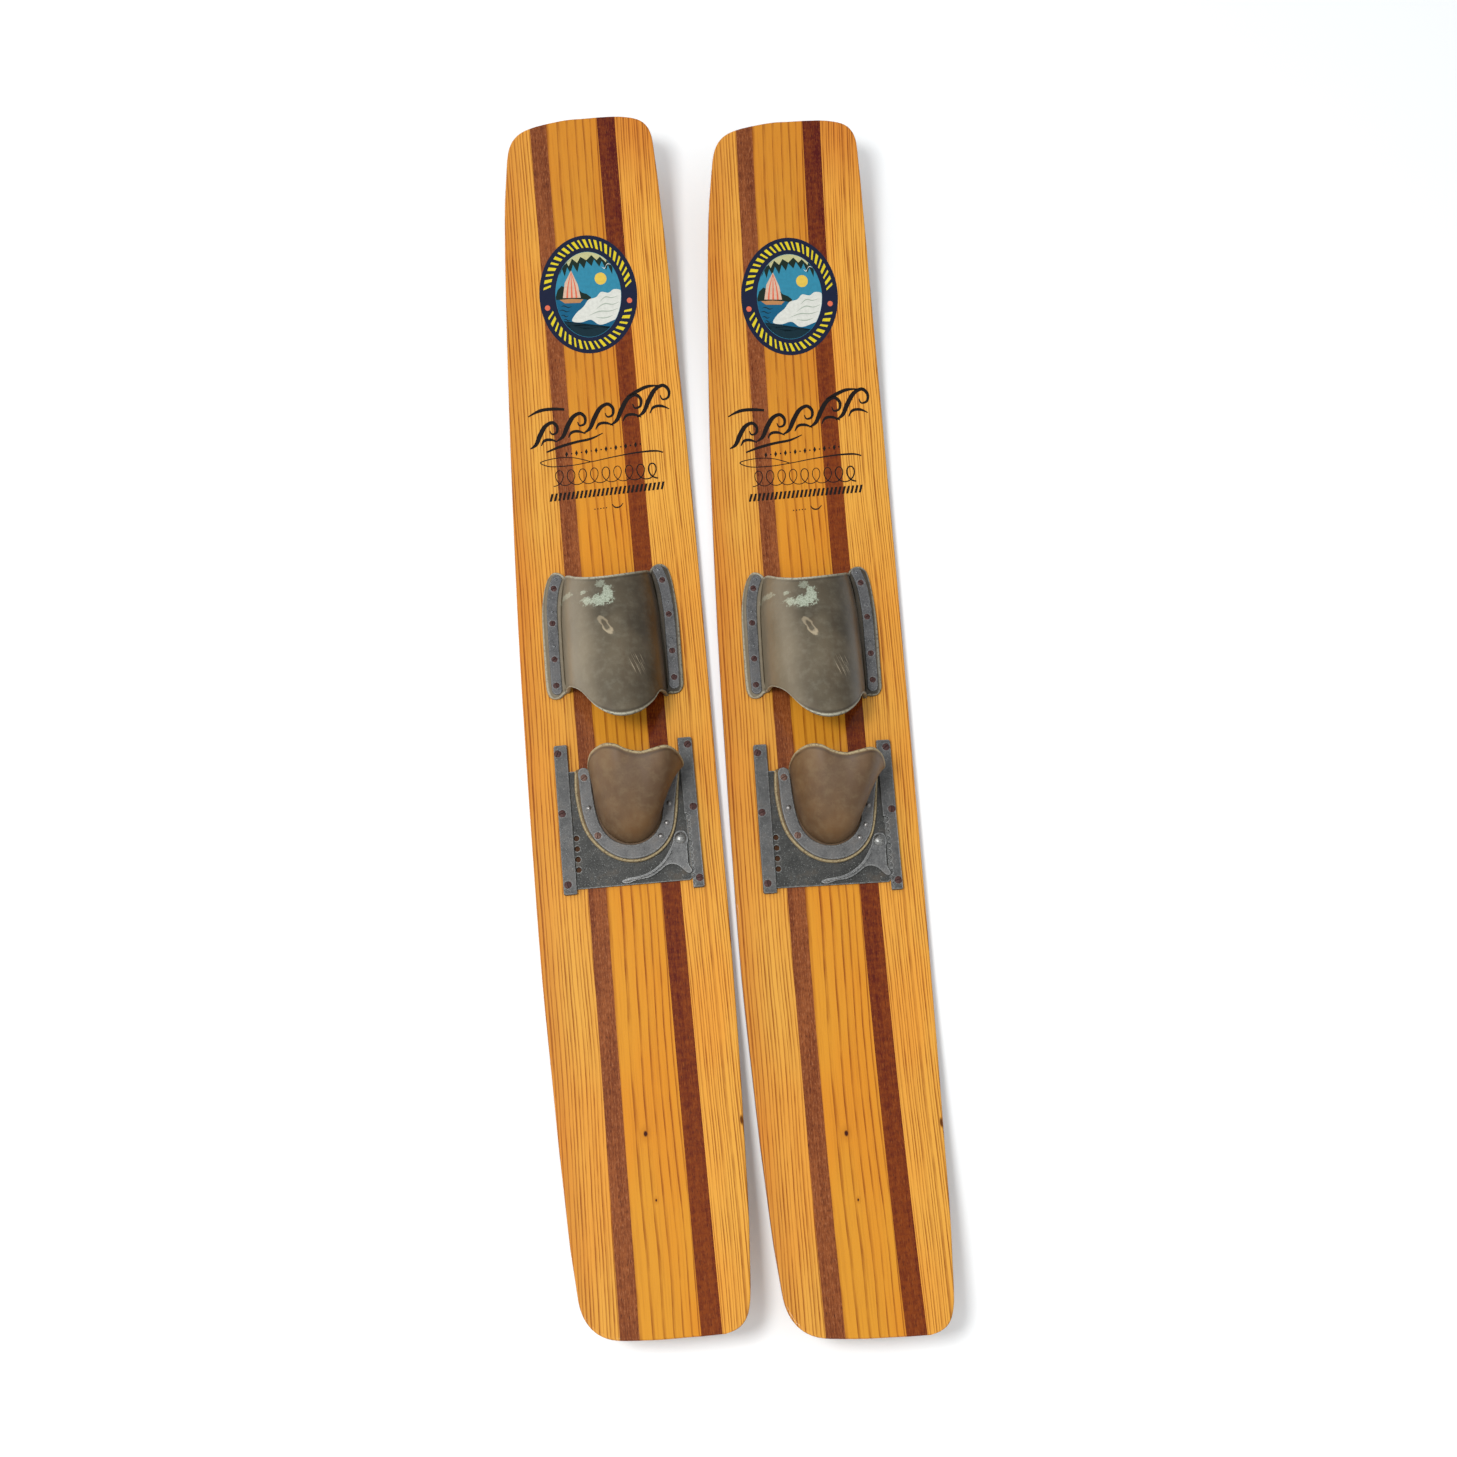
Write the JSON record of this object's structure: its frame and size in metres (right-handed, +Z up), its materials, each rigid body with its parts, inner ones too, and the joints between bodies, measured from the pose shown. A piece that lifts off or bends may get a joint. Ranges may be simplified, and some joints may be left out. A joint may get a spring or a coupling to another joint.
{
  "type": "water ski pair",
  "caption": "Wooden trick water skis, both ends turned up, each with a fixed rubber toe piece and a sliding rubber heel piece held by a latch lever and a notched rail.",
  "frame": {"origin": "centre of the pair's bounding box, on the floor under the flat bottoms", "axes": "+X to the right across the pair, +Y toward the tips, +Z up"},
  "size_m": [0.4392, 1.3895, 0.0924],
  "materials": {
    "ash_fine": "glossy amber varnish over fine straight-grained ash",
    "ash_wide": "glossy amber varnish over flat-sawn ash",
    "mahogany": "glossy varnish over mahogany",
    "decal_film": "printed transfer under varnish, worn",
    "toe_rubber": "aged olive brown rubber, worn pale at its edges",
    "heel_rubber": "aged brown rubber, worn pale at its edges",
    "strip_metal": "dull, scuffed",
    "cast_alloy": "mottled, corroded casting",
    "lever_steel": "worn plated steel",
    "rusty_steel": "rusty dark brown",
    "pin_steel": "tarnished",
    "bright_steel": "worn bright"
  },
  "bodies": {
    "left_ski": {"left_outer_plank_left": "ash_fine", "left_stripe_left": "mahogany", "left_centre_plank": "ash_wide", "left_stripe_right": "mahogany", "left_outer_plank_right": "ash_fine", "left_decal": "decal_film", "left_toe_rubber": "toe_rubber", "left_toe_strip_left": "strip_metal", "left_toe_strip_right": "strip_metal", "left_toe_screws": "rusty_steel", "left_toe_pins": "pin_steel", "left_rail_left": "cast_alloy", "left_rail_right": "cast_alloy", "left_rail_screws": "rusty_steel"},
    "left_heel": {"left_heel_plate": "cast_alloy", "left_heel_rubber": "heel_rubber", "left_horseshoe": "cast_alloy", "left_horseshoe_screws": "rusty_steel", "left_horseshoe_rivets": "bright_steel", "left_latch_pin": "bright_steel"},
    "left_latch": {"left_latch_lever": "lever_steel"},
    "right_ski": {"right_outer_plank_left": "ash_fine", "right_stripe_left": "mahogany", "right_centre_plank": "ash_wide", "right_stripe_right": "mahogany", "right_outer_plank_right": "ash_fine", "right_decal": "decal_film", "right_toe_rubber": "toe_rubber", "right_toe_strip_left": "strip_metal", "right_toe_strip_right": "strip_metal", "right_toe_screws": "rusty_steel", "right_toe_pins": "pin_steel", "right_rail_left": "cast_alloy", "right_rail_right": "cast_alloy", "right_rail_screws": "rusty_steel"},
    "right_heel": {"right_heel_plate": "cast_alloy", "right_heel_rubber": "heel_rubber", "right_horseshoe": "cast_alloy", "right_horseshoe_screws": "rusty_steel", "right_horseshoe_rivets": "bright_steel", "right_latch_pin": "bright_steel"},
    "right_latch": {"right_latch_lever": "lever_steel"}
  },
  "joints": [
    {"name": "left_heel_slide", "type": "slide", "parent": "left_ski", "child": "left_heel", "axis": [-0.0152, 0.9999, 0], "range_m": [-0.0073, 0.0219]},
    {"name": "left_latch_hinge", "type": "hinge", "parent": "left_heel", "child": "left_latch", "pos_m": [-0.05436, -0.16623, 0.0175], "axis": [0, 0, -1], "range_deg": [0, 6], "stiffness_Nm_per_rad": 0.5},
    {"name": "right_heel_slide", "type": "slide", "parent": "right_ski", "child": "right_heel", "axis": [0.0152, 0.9999, 0], "range_m": [-0.0073, 0.0219]},
    {"name": "right_latch_hinge", "type": "hinge", "parent": "right_heel", "child": "right_latch", "pos_m": [0.16312, -0.18409, 0.0175], "axis": [0, 0, -1], "range_deg": [0, 6], "stiffness_Nm_per_rad": 0.5},
    {"name": "skis_apart", "type": "slide", "parent": "left_ski", "child": "right_ski", "axis": [1, 0, 0], "range_m": [0, 0.3]}
  ]
}
